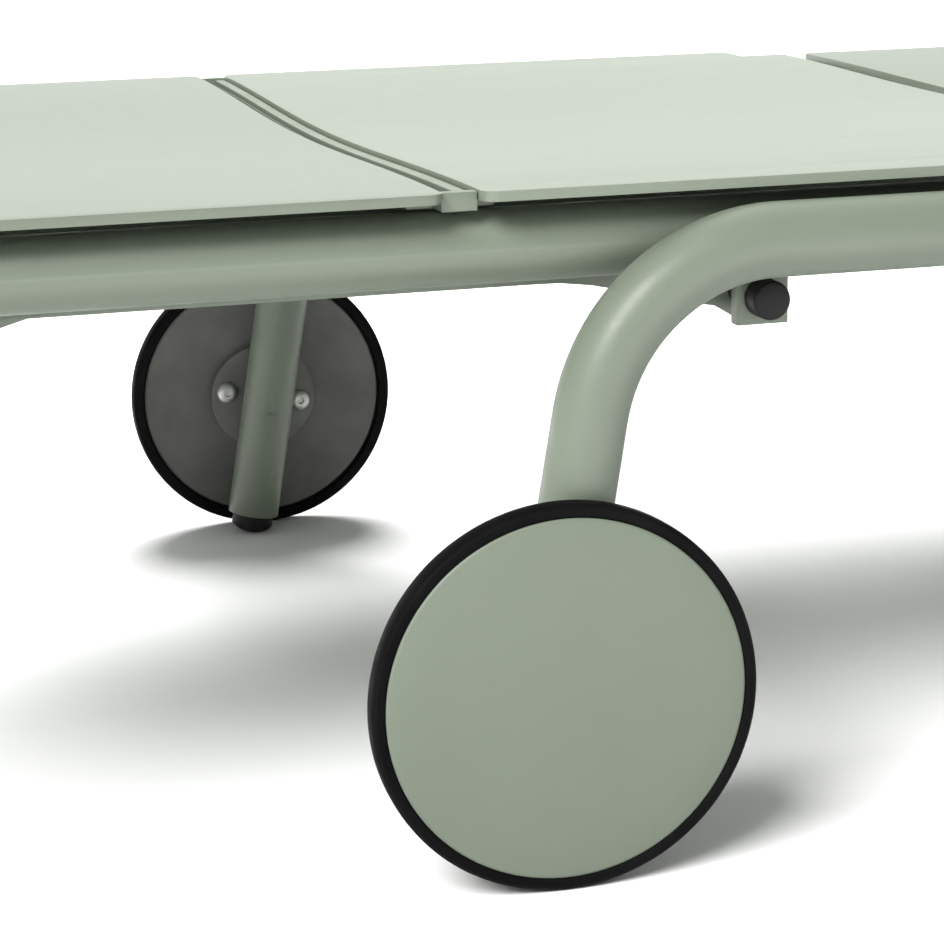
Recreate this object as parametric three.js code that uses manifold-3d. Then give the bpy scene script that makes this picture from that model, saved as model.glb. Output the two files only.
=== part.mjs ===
// Reclining sun lounger: five dished sheet panels on two round side rails, with bent-tube legs,
// two wheels at the head end and a two-panel backrest held up by a folding stay.
// Millimetres. +X points to the foot end, +Y to the user's left, +Z up; the origin is on the
// ground under the middle of the lounger.

import * as THREE from 'three';
import { mergeVertices } from 'three/addons/utils/BufferGeometryUtils.js';
import Module from 'manifold-3d';

const wasm = await Module();
wasm.setup();

// ---------------------------------------------------------------- driving dimensions

const GAP = 0.3; // left between two pieces that touch
const SIDES = { left: 1, right: -1 };
const ENDS = { head: -1, foot: 1 };

// panels
const PANEL_PITCH = 397;
const PANEL_COUNT = 5;
const HALF_LENGTH = (PANEL_PITCH * PANEL_COUNT) / 2;
const END_BEARER_INSET = 37.5;
const PANEL_HALF_WIDTH = 312;
const PANEL_THICKNESS = 4.5;
const PANEL_CORNER = 8;
const BACKREST_TOP = 306.7; // height of the backrest panels along their long edges
const SEAT_TOP = 303.7;
const DISH_DEPTH = 5.5; // how far the middle of a panel lies below its long edges
const DISH_STEPS = 14;
const SEAM_GAP = 17;
const HINGE_SEAM_GAP = 27;
const NOTCH_LENGTH = 30; // corner cut-outs of the backrest beside the hinges
const NOTCH_DEPTH = 34;

// tubes
const TUBE_RADIUS = 16.75;
const TUBE_WALL = 2;
const RAIL_Y = 284.6;
const RAIL_Z = 279.5;
const RAIL_HALF_LENGTH = 976;
const HOOP_Y = 318.6;
const BEND_RADIUS = 88;
const LEG_LEAN = THREE.MathUtils.degToRad(10);
const FOOT_RADIUS = 13.5;
const FOOT_DOME_RADIUS = 20;
const FOOT_LENGTH = 13; // below the tube
const FOOT_INSERT = 16; // inside the tube
const FOOT_FLAT_DEPTH = 1;
const END_TUBE_RADIUS = 12.5;
const END_TUBE_X = 948;
const END_TUBE_Z = 273.5;

// wheels
const WHEEL_RADIUS = 88;
const AXLE_X = -564;
const WHEEL_FACE_Y = 350;
const TYRE_WIDTH = 12.8;
const TYRE_INNER_RADIUS = 80;
const COVER_RADIUS = 81.75;
const FLANGE_RADIUS = 35;
const FLANGE_THICKNESS = 4;
const AXLE_RADIUS = 7.8;
const BOLT_OFFSET = 25;

// backrest frame
const SIDE_BAR_Y = 249;
const SIDE_BAR_WIDTH = 12;
const SIDE_BAR_BOTTOM = 258;
const SIDE_BAR_TOP = 296.4;
const SIDE_BAR_HEAD_X = -930;
const HINGE_X = -PANEL_PITCH / 2;
const HINGE_Z = 289.5;
const HINGE_PIN_RADIUS = 5;
const HINGE_BRACKET_INNER_Y = 257;
const HINGE_BRACKET_THICKNESS = 10.4;
const BEARER_WIDTH = 40;
const BEARER_THICKNESS = 4.3;
const HINGE_BEARER_HALF = 257;
const BACKREST_HINGE_BEARER_X = -248.5;
const SEAT_HINGE_BEARER_X = -133.5;
const BACKREST_BEARER_HALF = 302;
const SEAT_BEARER_HALF = 273;

// folding stay
const STAY_X = -450.5;
const STAY_Z = 248.6;
const STAY_LENGTH = 375;
const STAY_ARM_Y = 261.5;
const STAY_ARM_THICKNESS = 6;
const STAY_EYE_RADIUS = 13.5;
const STAY_TIP_RADIUS = 8;
const STAY_CRANK = 16.4; // how far the arm bows up beside the rail between its pivot and its tip
const STAY_RAMP = 95; // length of the bend next to the pivot
const STAY_TIP_RAMP = 48;
const STAY_STEPS = 24;
const TIP_ROD_RADIUS = 6;
const STAY_PIN_RADIUS = 5;
const LUG_Y = 284;
const LUG_THICKNESS = 8;
const LUG_HALF_WIDTH = 12.4;
const LUG_BOTTOM = 236;
const CAP_RADIUS = 9;
const CAP_LENGTH = 12;
const RACK_BOTTOM = 255;
const RACK_TOP = 275;
const RACK_THICKNESS = 6;
const BACKREST_STOPS = [0, 15, 30, 45, 60]; // degrees that the rack's notches hold

// how finely round shapes are divided
const TUBE_SEGMENTS = 20;
const BORE_SEGMENTS = 12;
const WHEEL_SEGMENTS = 36;
const SMALL_SEGMENTS = 16;
const BEND_STEPS = 8;

// ---------------------------------------------------------------- materials

function material(color, roughness, metalness) {
  return new THREE.MeshStandardMaterial({ color, roughness, metalness });
}

const framePaint = () => material(0x919c8b, 0.5, 0.25);
const panelPaint = () => material(0xa3ada0, 0.45, 0.2);
const blackPlastic = () => material(0x1b1c1c, 0.6, 0);
const tyreRubber = () => material(0x161717, 0.75, 0);
const darkPlastic = () => material(0x3c3f3d, 0.6, 0);
const steel = () => material(0xb8bab5, 0.35, 0.9);

// ---------------------------------------------------------------- geometry helpers

// One closed indexed mesh with shared vertices and its faces pointing out.
function closedMesh(geometry) {
  const bare = geometry.clone();
  bare.deleteAttribute('normal');
  bare.deleteAttribute('uv');
  const merged = mergeVertices(bare);
  const index = merged.index.array;
  const kept = [];
  for (let i = 0; i < index.length; i += 3) {
    const [a, b, c] = [index[i], index[i + 1], index[i + 2]];
    if (a !== b && b !== c && c !== a) kept.push(a, b, c);
  }
  merged.setIndex(signedVolume(merged.attributes.position, kept) < 0 ? kept.reverse() : kept);
  return merged;
}

function signedVolume(position, index) {
  const [a, b, c] = [new THREE.Vector3(), new THREE.Vector3(), new THREE.Vector3()];
  let volume = 0;
  for (let i = 0; i < index.length; i += 3) {
    a.fromBufferAttribute(position, index[i]);
    b.fromBufferAttribute(position, index[i + 1]);
    c.fromBufferAttribute(position, index[i + 2]);
    volume += a.dot(b.cross(c)) / 6;
  }
  return volume;
}

function toSolid(geometry) {
  const closed = closedMesh(geometry);
  const vertProperties = new Float32Array(closed.attributes.position.array);
  const triVerts = new Uint32Array(closed.index.array);
  return new wasm.Manifold(new wasm.Mesh({ numProp: 3, vertProperties, triVerts }));
}

function toGeometry(solid) {
  const { vertProperties, triVerts } = solid.getMesh();
  const geometry = new THREE.BufferGeometry();
  geometry.setAttribute('position', new THREE.BufferAttribute(vertProperties, 3));
  geometry.setIndex(new THREE.BufferAttribute(triVerts, 1));
  return geometry;
}

// A shape drawn in (x, z), given a thickness along Y with its middle at y = 0.
function plateXZ(shape, thickness, curveSegments = SMALL_SEGMENTS / 2) {
  const options = { depth: thickness, bevelEnabled: false, curveSegments };
  const geometry = new THREE.ExtrudeGeometry(shape, options);
  return geometry.translate(0, 0, -thickness / 2).rotateX(Math.PI / 2);
}

// A section drawn in (y, z), extruded along X with its middle at x = 0.
function sectionAlongX(shape, length) {
  const options = { depth: length, bevelEnabled: false, curveSegments: 2 };
  const geometry = new THREE.ExtrudeGeometry(shape, options);
  return geometry.translate(0, 0, -length / 2).rotateX(Math.PI / 2).rotateZ(Math.PI / 2);
}

// A solid of revolution about the Y axis; each profile point is [radius, y].
function turned(profile, segments) {
  return new THREE.LatheGeometry(profile.map(([radius, y]) => new THREE.Vector2(radius, y)), segments);
}

function cylinderY(radius, from, to, segments = SMALL_SEGMENTS) {
  return turned([[0, from], [radius, from], [radius, to], [0, to]], segments);
}

function roundPoints(radius, count) {
  return Array.from({ length: count }, (_, i) => {
    const angle = (i / count) * 2 * Math.PI;
    return new THREE.Vector2(radius * Math.cos(angle), radius * Math.sin(angle));
  });
}

function ringSection(radius, wall, outerCount = TUBE_SEGMENTS, innerCount = BORE_SEGMENTS) {
  const shape = new THREE.Shape(roundPoints(radius, outerCount));
  shape.holes.push(new THREE.Path(roundPoints(radius - wall, innerCount)));
  return shape;
}

function roundedRectangle(halfX, halfY, radius) {
  const shape = new THREE.Shape();
  shape.absarc(halfX - radius, halfY - radius, radius, 0, Math.PI / 2);
  shape.absarc(-halfX + radius, halfY - radius, radius, Math.PI / 2, Math.PI);
  shape.absarc(-halfX + radius, -halfY + radius, radius, Math.PI, 1.5 * Math.PI);
  shape.absarc(halfX - radius, -halfY + radius, radius, 1.5 * Math.PI, 2 * Math.PI);
  return shape;
}

function circleHole(x, y, radius) {
  const path = new THREE.Path();
  path.absarc(x, y, radius, 0, 2 * Math.PI, true);
  return path;
}

// A centreline of straight runs and bends that is stepped only at the nodes it is given.
class NodePath extends THREE.Curve {
  constructor(nodes) {
    super();
    this.nodes = nodes;
  }

  nodeAt(u) {
    return this.nodes[Math.round(u * (this.nodes.length - 1))];
  }

  getPointAt(u, target = new THREE.Vector3()) {
    return target.copy(this.nodeAt(u).point);
  }

  getTangentAt(u, target = new THREE.Vector3()) {
    return target.copy(this.nodeAt(u).tangent);
  }
}

// ---------------------------------------------------------------- scene assembly

const lounger = new THREE.Group();

function add(name, geometry, mat, position = [0, 0, 0], rotation = [0, 0, 0]) {
  const mesh = new THREE.Mesh(closedMesh(geometry), mat);
  mesh.name = name;
  mesh.position.set(...position);
  mesh.rotation.set(...rotation);
  lounger.add(mesh);
  return mesh;
}

// Places a piece made for the left side; on the right it is turned half a turn about Z.
function addOnSide(name, side, geometry, mat, [x, y, z], tilt = 0) {
  const turn = side > 0 ? 0 : Math.PI;
  const mesh = add(name, geometry, mat, [x, side * y, z]);
  mesh.rotation.set(0, side * tilt, turn, 'ZYX');
  return mesh;
}

// ---------------------------------------------------------------- tubular frame

function dishOffset(y) {
  return -DISH_DEPTH * Math.cos((Math.PI * y) / (2 * PANEL_HALF_WIDTH)) ** 2;
}

// The dished section between y = -half and y = half, hung below the height `top`.
function dishedSection(half, top, thickness) {
  const ys = Array.from({ length: DISH_STEPS + 1 }, (_, i) => -half + (2 * half * i) / DISH_STEPS);
  const under = ys.map((y) => new THREE.Vector2(y, top - thickness + dishOffset(y)));
  const over = ys.map((y) => new THREE.Vector2(y, top + dishOffset(y))).reverse();
  return new THREE.Shape([...under, ...over]);
}

function sideRails() {
  for (const [sideName, side] of Object.entries(SIDES)) {
    const tube = sectionAlongX(ringSection(TUBE_RADIUS, TUBE_WALL), 2 * RAIL_HALF_LENGTH);
    add(`side_rail_${sideName}`, tube, framePaint(), [0, side * RAIL_Y, RAIL_Z]);
  }
}

function railPlugs() {
  const insert = TUBE_RADIUS - TUBE_WALL - 2 * GAP;
  const plug = turned(
    [[0, -18], [insert, -18], [insert, GAP], [TUBE_RADIUS - 0.4, GAP], [TUBE_RADIUS - 0.4, 2.4],
      [TUBE_RADIUS - 3, 4.6], [0, 5]],
    TUBE_SEGMENTS,
  );
  for (const [endName, end] of Object.entries(ENDS)) {
    for (const [sideName, side] of Object.entries(SIDES)) {
      const position = [end * RAIL_HALF_LENGTH, side * RAIL_Y, RAIL_Z];
      add(`rail_plug_${endName}_${sideName}`, plug, blackPlastic(), position, [0, 0, (-end * Math.PI) / 2]);
    }
  }
}

function endTubes() {
  const half = RAIL_Y - TUBE_RADIUS - GAP;
  for (const [endName, end] of Object.entries(ENDS)) {
    const tube = sectionAlongX(ringSection(END_TUBE_RADIUS, TUBE_WALL, SMALL_SEGMENTS), 2 * half);
    add(`end_tube_${endName}`, tube, framePaint(), [end * END_TUBE_X, 0, END_TUBE_Z], [0, 0, Math.PI / 2]);
  }
}

// The leg's axis leans outwards and crosses the wheel's axle.
const legDown = new THREE.Vector3(-Math.sin(LEG_LEAN), 0, -Math.cos(LEG_LEAN));

function legPointAt(z) {
  return new THREE.Vector3(AXLE_X - (WHEEL_RADIUS - z) * Math.tan(LEG_LEAN), 0, z);
}

// The tube stops where the foot cap's dome, cut flat at the ground, leaves it.
const legEnd = legPointAt(FOOT_DOME_RADIUS - FOOT_FLAT_DEPTH)
  .addScaledVector(legDown, FOOT_DOME_RADIUS - FOOT_LENGTH);

function bendNode(centre, angle) {
  const point = new THREE.Vector3(Math.cos(angle), 0, Math.sin(angle));
  point.multiplyScalar(BEND_RADIUS).add(centre);
  return { point, tangent: new THREE.Vector3(Math.sin(angle), 0, -Math.cos(angle)) };
}

function mirrored({ point, tangent }) {
  return {
    point: new THREE.Vector3(-point.x, 0, point.z),
    tangent: new THREE.Vector3(tangent.x, 0, -tangent.z),
  };
}

// Up the head leg, round its bend to the level run, and the same mirrored at the foot end.
function hoopNodes() {
  const turn = Math.PI / 2 - LEG_LEAN;
  const centreX = legPointAt(RAIL_Z).x + BEND_RADIUS * Math.tan(turn / 2);
  const centre = new THREE.Vector3(centreX, 0, RAIL_Z - BEND_RADIUS);
  const headHalf = [{ point: legEnd, tangent: legDown.clone().negate() }];
  for (let i = 0; i <= BEND_STEPS; i += 1) {
    headHalf.push(bendNode(centre, Math.PI - LEG_LEAN - (turn * i) / BEND_STEPS));
  }
  return [...headHalf, ...headHalf.map(mirrored).reverse()];
}

function legHoops() {
  const nodes = hoopNodes();
  const tube = new THREE.ExtrudeGeometry(ringSection(TUBE_RADIUS, TUBE_WALL), {
    steps: nodes.length - 1,
    extrudePath: new NodePath(nodes),
  });
  for (const [sideName, side] of Object.entries(SIDES)) {
    add(`leg_hoop_${sideName}`, tube, framePaint(), [0, side * HOOP_Y, 0]);
  }
}

// Moulded cap pushed into the end of each leg, with a domed underside and a small flat on the ground.
function footCaps() {
  const rimAngle = Math.asin(FOOT_RADIUS / FOOT_DOME_RADIUS);
  const domeSteps = 4;
  const profile = [[0, FOOT_INSERT], [FOOT_RADIUS, FOOT_INSERT]];
  for (let i = domeSteps; i >= 0; i -= 1) {
    const angle = (rimAngle * i) / domeSteps;
    const depth = FOOT_LENGTH - FOOT_DOME_RADIUS * (1 - Math.cos(angle));
    profile.push([FOOT_DOME_RADIUS * Math.sin(angle), -depth]);
  }
  const ground = toSolid(new THREE.BoxGeometry(100, 100, 20).translate(0, 0, -10));
  for (const [endName, end] of Object.entries(ENDS)) {
    const cap = turned(profile, SMALL_SEGMENTS).rotateX(Math.PI / 2).rotateY(-end * LEG_LEAN);
    cap.translate(0, 0, legEnd.z);
    const flattened = toGeometry(toSolid(cap).subtract(ground));
    for (const [sideName, side] of Object.entries(SIDES)) {
      const position = [-end * legEnd.x, side * HOOP_Y, 0];
      add(`foot_cap_${endName}_${sideName}`, flattened, blackPlastic(), position);
    }
  }
}

// ---------------------------------------------------------------- panels and their bearers

// Plan outline of a panel from x = from to x = to, with the corners at `notchedEnd` cut away.
function panelOutline(from, to, notched) {
  const right = notched ? to - NOTCH_LENGTH : to;
  const shape = new THREE.Shape();
  const corner = (x, y, start) => {
    shape.absarc(x, y, PANEL_CORNER, start, start + Math.PI / 2);
  };
  const inset = PANEL_CORNER;
  const outer = PANEL_HALF_WIDTH - inset;
  corner(from + inset, -outer, Math.PI);
  corner(right - inset, -outer, -Math.PI / 2);
  if (notched) {
    const inner = PANEL_HALF_WIDTH - NOTCH_DEPTH;
    shape.lineTo(right, -inner);
    corner(to - inset, -inner + inset, -Math.PI / 2);
    corner(to - inset, inner - inset, 0);
    shape.lineTo(right, inner);
  }
  corner(right - inset, outer, 0);
  corner(from + inset, outer, Math.PI / 2);
  return shape;
}

function panel(from, to, top, notched) {
  const outline = new THREE.ExtrudeGeometry(panelOutline(from, to, notched), {
    depth: 60,
    bevelEnabled: false,
    curveSegments: 3,
  }).translate(0, 0, top - 40);
  const section = sectionAlongX(dishedSection(PANEL_HALF_WIDTH, top, PANEL_THICKNESS), to - from + 20);
  section.translate((from + to) / 2, 0, 0);
  return toGeometry(toSolid(outline).intersect(toSolid(section)));
}

function panels() {
  const names = ['backrest_panel_head', 'backrest_panel_hinge', 'seat_panel_hinge', 'seat_panel_middle',
    'seat_panel_foot'];
  const backrestCount = 2;
  const seamGaps = [SEAM_GAP, SEAM_GAP, HINGE_SEAM_GAP, SEAM_GAP, SEAM_GAP, SEAM_GAP];
  names.forEach((name, i) => {
    const start = (i - PANEL_COUNT / 2) * PANEL_PITCH;
    const from = start + seamGaps[i] / 2;
    const to = start + PANEL_PITCH - seamGaps[i + 1] / 2;
    const top = i < backrestCount ? BACKREST_TOP : SEAT_TOP;
    add(name, panel(from, to, top, i === backrestCount - 1), panelPaint());
  });
}

// Flat strip under the panels, bent to the same dish.
function bearer(name, x, half, panelTop) {
  const top = panelTop - PANEL_THICKNESS - GAP;
  add(name, sectionAlongX(dishedSection(half, top, BEARER_THICKNESS), BEARER_WIDTH), framePaint(), [x, 0, 0]);
}

function bearers() {
  const endX = HALF_LENGTH - END_BEARER_INSET;
  const seam = (k) => (k - PANEL_COUNT / 2) * PANEL_PITCH;
  bearer('backrest_bearer_head', -endX, BACKREST_BEARER_HALF, BACKREST_TOP);
  bearer('backrest_bearer_middle', seam(1), BACKREST_BEARER_HALF, BACKREST_TOP);
  bearer('backrest_bearer_hinge', BACKREST_HINGE_BEARER_X, HINGE_BEARER_HALF, BACKREST_TOP);
  bearer('seat_bearer_hinge', SEAT_HINGE_BEARER_X, SEAT_BEARER_HALF, SEAT_TOP);
  bearer('seat_bearer_thigh', seam(3), SEAT_BEARER_HALF, SEAT_TOP);
  bearer('seat_bearer_calf', seam(4), SEAT_BEARER_HALF, SEAT_TOP);
  bearer('seat_bearer_foot', endX, SEAT_BEARER_HALF, SEAT_TOP);
}

// ---------------------------------------------------------------- backrest frame and hinge

function backrestSideBars() {
  const toX = HINGE_X + 14;
  const halfLength = (toX - SIDE_BAR_HEAD_X) / 2;
  const middleX = (toX + SIDE_BAR_HEAD_X) / 2;
  const halfHeight = (SIDE_BAR_TOP - SIDE_BAR_BOTTOM) / 2;
  const middleZ = (SIDE_BAR_TOP + SIDE_BAR_BOTTOM) / 2;
  const section = roundedRectangle(SIDE_BAR_WIDTH / 2, halfHeight, 2);
  const bore = roundedRectangle(SIDE_BAR_WIDTH / 2 - TUBE_WALL, halfHeight - TUBE_WALL, 0.5);
  section.holes.push(new THREE.Path(bore.getPoints(1).reverse()));
  const tube = toSolid(sectionAlongX(section, 2 * halfLength));
  const pinHole = cylinderY(HINGE_PIN_RADIUS + GAP, -SIDE_BAR_WIDTH, SIDE_BAR_WIDTH);
  pinHole.translate(HINGE_X - middleX, 0, HINGE_Z - middleZ);
  const bar = toGeometry(tube.subtract(toSolid(pinHole)));
  for (const [sideName, side] of Object.entries(SIDES)) {
    add(`backrest_side_bar_${sideName}`, bar, framePaint(), [middleX, side * SIDE_BAR_Y, middleZ]);
  }
}

// Plate on the inner face of the rail that carries the hinge pin.
function hingeBrackets() {
  const shape = new THREE.Shape();
  shape.absarc(0, 0, 10, 0, Math.PI);
  shape.lineTo(-15, -24);
  shape.lineTo(15, -24);
  shape.holes.push(circleHole(0, 0, HINGE_PIN_RADIUS + GAP));
  const plate = plateXZ(shape, HINGE_BRACKET_THICKNESS);
  for (const [sideName, side] of Object.entries(SIDES)) {
    const y = HINGE_BRACKET_INNER_Y + HINGE_BRACKET_THICKNESS / 2;
    add(`hinge_bracket_${sideName}`, plate, framePaint(), [HINGE_X, side * y, HINGE_Z]);
  }
}

// Shouldered pin from inside the side bar, through it and into the bracket.
function hingePins() {
  const headFace = SIDE_BAR_Y - SIDE_BAR_WIDTH / 2 - GAP;
  const end = HINGE_BRACKET_INNER_Y + HINGE_BRACKET_THICKNESS;
  const pin = turned(
    [[0, headFace - 3], [7, headFace - 3], [8, headFace - 2], [8, headFace], [HINGE_PIN_RADIUS, headFace],
      [HINGE_PIN_RADIUS, end - GAP], [0, end - GAP]],
    SMALL_SEGMENTS,
  );
  for (const [sideName, side] of Object.entries(SIDES)) {
    addOnSide(`hinge_pin_${sideName}`, side, pin, steel(), [HINGE_X, 0, HINGE_Z]);
  }
}

// ---------------------------------------------------------------- folding stay

// Height of the tip rod's axis under the rack, and the stay's slope when folded flat.
const tipZ = RACK_BOTTOM - TIP_ROD_RADIUS - 0.4;
const foldedSlope = Math.asin((tipZ - STAY_Z) / STAY_LENGTH);

// Distance from the hinge to the stay's tip, measured along the backrest raised by `angle`.
function tipDistance(angle) {
  const below = HINGE_Z - tipZ;
  const across = HINGE_X - STAY_X - below * Math.sin(angle);
  const up = HINGE_Z - STAY_Z - below * Math.cos(angle);
  const along = across * Math.cos(angle) - up * Math.sin(angle);
  return along + Math.sqrt(along ** 2 - across ** 2 - up ** 2 + STAY_LENGTH ** 2);
}

function easedStep(share) {
  const t = Math.min(1, Math.max(0, share));
  return t * t * (3 - 2 * t);
}

// How far the arm's centreline bows away from the straight line from pivot to tip.
function bow(distance) {
  return STAY_CRANK * easedStep(distance / STAY_RAMP) * easedStep((STAY_LENGTH - distance) / STAY_TIP_RAMP);
}

function stayArms() {
  const shape = new THREE.Shape();
  const eyeEnd = 0.62 * Math.PI;
  const runFrom = 14;
  const runLength = STAY_LENGTH - runFrom - 2;
  const along = Array.from({ length: STAY_STEPS + 1 }, (_, i) => runFrom + (runLength * i) / STAY_STEPS);
  shape.absarc(0, 0, STAY_EYE_RADIUS, -eyeEnd, eyeEnd);
  for (const distance of along) shape.lineTo(-distance, bow(distance) + STAY_TIP_RADIUS);
  shape.absarc(-STAY_LENGTH, 0, STAY_TIP_RADIUS, Math.PI / 2, 1.5 * Math.PI);
  for (const distance of along.reverse()) shape.lineTo(-distance, bow(distance) - STAY_TIP_RADIUS);
  shape.holes.push(circleHole(0, 0, STAY_PIN_RADIUS + GAP));
  const arm = plateXZ(shape, STAY_ARM_THICKNESS);
  for (const [sideName, side] of Object.entries(SIDES)) {
    add(`stay_arm_${sideName}`, arm, framePaint(), [STAY_X, side * STAY_ARM_Y, STAY_Z], [0, foldedSlope, 0]);
  }
}

function stayRods() {
  const half = STAY_ARM_Y - STAY_ARM_THICKNESS / 2 - GAP;
  const tipX = STAY_X - STAY_LENGTH * Math.cos(foldedSlope);
  add('stay_tip_rod', cylinderY(TIP_ROD_RADIUS, -half, half), framePaint(), [tipX, 0, tipZ]);
  const barWidth = 9;
  const barHeight = 9;
  const bar = new THREE.BoxGeometry(barWidth, 2 * half, barHeight);
  add('stay_cross_bar', bar, framePaint(), [STAY_X + 0.9 + barWidth / 2, 0, LUG_BOTTOM + barHeight / 2]);
}

// Block under the rail with a bore for the stay's pin.
function stayLugs() {
  const top = RAIL_Z - TUBE_RADIUS - GAP - STAY_Z;
  const bottom = LUG_BOTTOM - STAY_Z;
  const shape = new THREE.Shape();
  shape.moveTo(-LUG_HALF_WIDTH, bottom);
  shape.lineTo(LUG_HALF_WIDTH, bottom);
  shape.lineTo(LUG_HALF_WIDTH, top);
  shape.lineTo(-LUG_HALF_WIDTH, top);
  shape.holes.push(circleHole(0, 0, STAY_PIN_RADIUS + GAP));
  const lug = plateXZ(shape, LUG_THICKNESS);
  for (const [sideName, side] of Object.entries(SIDES)) {
    add(`stay_lug_${sideName}`, lug, framePaint(), [STAY_X, side * LUG_Y, STAY_Z]);
  }
}

// The pin runs from the cap, through lug and spacer, and ends flush with the arm's inner face.
function stayPins() {
  const inner = STAY_ARM_Y - STAY_ARM_THICKNESS / 2 + GAP;
  const outer = LUG_Y + LUG_THICKNESS / 2 + 4;
  const armOuter = STAY_ARM_Y + STAY_ARM_THICKNESS / 2;
  const lugInner = LUG_Y - LUG_THICKNESS / 2;
  const capInner = LUG_Y + LUG_THICKNESS / 2 + GAP;
  const pin = cylinderY(STAY_PIN_RADIUS, inner, outer);
  const spacer = turned(
    [[STAY_PIN_RADIUS + GAP, armOuter + GAP], [8, armOuter + GAP], [8, lugInner - GAP],
      [STAY_PIN_RADIUS + GAP, lugInner - GAP], [STAY_PIN_RADIUS + GAP, armOuter + GAP]],
    SMALL_SEGMENTS,
  );
  const capFace = capInner + CAP_LENGTH;
  const cap = turned(
    [[STAY_PIN_RADIUS + GAP, capInner], [CAP_RADIUS, capInner], [CAP_RADIUS, capFace - 1.5],
      [CAP_RADIUS - 1.5, capFace], [0, capFace], [0, outer + GAP], [STAY_PIN_RADIUS + GAP, outer + GAP],
      [STAY_PIN_RADIUS + GAP, capInner]],
    TUBE_SEGMENTS,
  );
  for (const [sideName, side] of Object.entries(SIDES)) {
    addOnSide(`stay_pin_${sideName}`, side, pin, steel(), [STAY_X, 0, STAY_Z]);
    addOnSide(`stay_spacer_${sideName}`, side, spacer, blackPlastic(), [STAY_X, 0, STAY_Z]);
    addOnSide(`stay_pin_cap_${sideName}`, side, cap, blackPlastic(), [STAY_X, 0, STAY_Z]);
  }
}

// Strip inside each side bar, notched underneath where the tip rod rests at each stop.
function backrestRacks() {
  const notchRadius = TIP_ROD_RADIUS + 0.5;
  const notchXs = BACKREST_STOPS.map((stop) => HINGE_X - tipDistance(THREE.MathUtils.degToRad(stop)));
  const fromX = notchXs[0] - 16;
  const toX = notchXs[notchXs.length - 1] + 16;
  const shape = new THREE.Shape();
  shape.moveTo(toX, RACK_TOP);
  shape.lineTo(fromX, RACK_TOP);
  shape.lineTo(fromX, RACK_BOTTOM);
  for (const x of notchXs) {
    shape.lineTo(x - notchRadius, RACK_BOTTOM);
    shape.absarc(x, RACK_BOTTOM, notchRadius, Math.PI, 0, true);
  }
  shape.lineTo(toX, RACK_BOTTOM);
  const rack = plateXZ(shape, RACK_THICKNESS, 5);
  const y = SIDE_BAR_Y - SIDE_BAR_WIDTH / 2 - GAP - RACK_THICKNESS / 2;
  for (const [sideName, side] of Object.entries(SIDES)) {
    add(`backrest_rack_${sideName}`, rack, framePaint(), [0, side * y, 0]);
  }
}

// ---------------------------------------------------------------- wheels

const flangeInner = HOOP_Y + TUBE_RADIUS + 0.35;
const flangeOuter = flangeInner + FLANGE_THICKNESS;
const coverInner = WHEEL_FACE_Y - 2.5;
const tyreInner = WHEEL_FACE_Y - TYRE_WIDTH;
const tyreOuter = WHEEL_FACE_Y - 0.4;
const coreOuter = coverInner - GAP;

// Fixed plate on the leg with the stub axle, and the two bolts beside the leg.
function wheelFlanges() {
  const shape = new THREE.Shape();
  shape.absarc(0, 0, FLANGE_RADIUS, 0, 2 * Math.PI);
  const boltHoleRadius = 4.3;
  for (const way of [-1, 1]) shape.holes.push(circleHole(way * BOLT_OFFSET, 0, boltHoleRadius));
  const plate = plateXZ(shape, FLANGE_THICKNESS, 10).translate(0, (flangeInner + flangeOuter) / 2, 0);
  const stub = cylinderY(AXLE_RADIUS, flangeOuter - 1, coreOuter - 0.5, TUBE_SEGMENTS);
  const flange = toGeometry(toSolid(plate).add(toSolid(stub)));
  const boltFace = flangeInner - GAP;
  const bolt = turned(
    [[0, boltFace - 3.8], [4, boltFace - 3.6], [6.2, boltFace - 2.4], [7, boltFace], [4, boltFace],
      [4, flangeOuter - 0.5], [0, flangeOuter - 0.5]],
    SMALL_SEGMENTS,
  );
  for (const [sideName, side] of Object.entries(SIDES)) {
    addOnSide(`wheel_flange_${sideName}`, side, flange, framePaint(), [AXLE_X, 0, WHEEL_RADIUS], LEG_LEAN);
    for (const [endName, end] of Object.entries(ENDS)) {
      const x = AXLE_X + end * BOLT_OFFSET * Math.cos(LEG_LEAN);
      const z = WHEEL_RADIUS - end * BOLT_OFFSET * Math.sin(LEG_LEAN);
      addOnSide(`wheel_bolt_${endName}_${sideName}`, side, bolt, steel(), [x, 0, z]);
    }
  }
}

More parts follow.
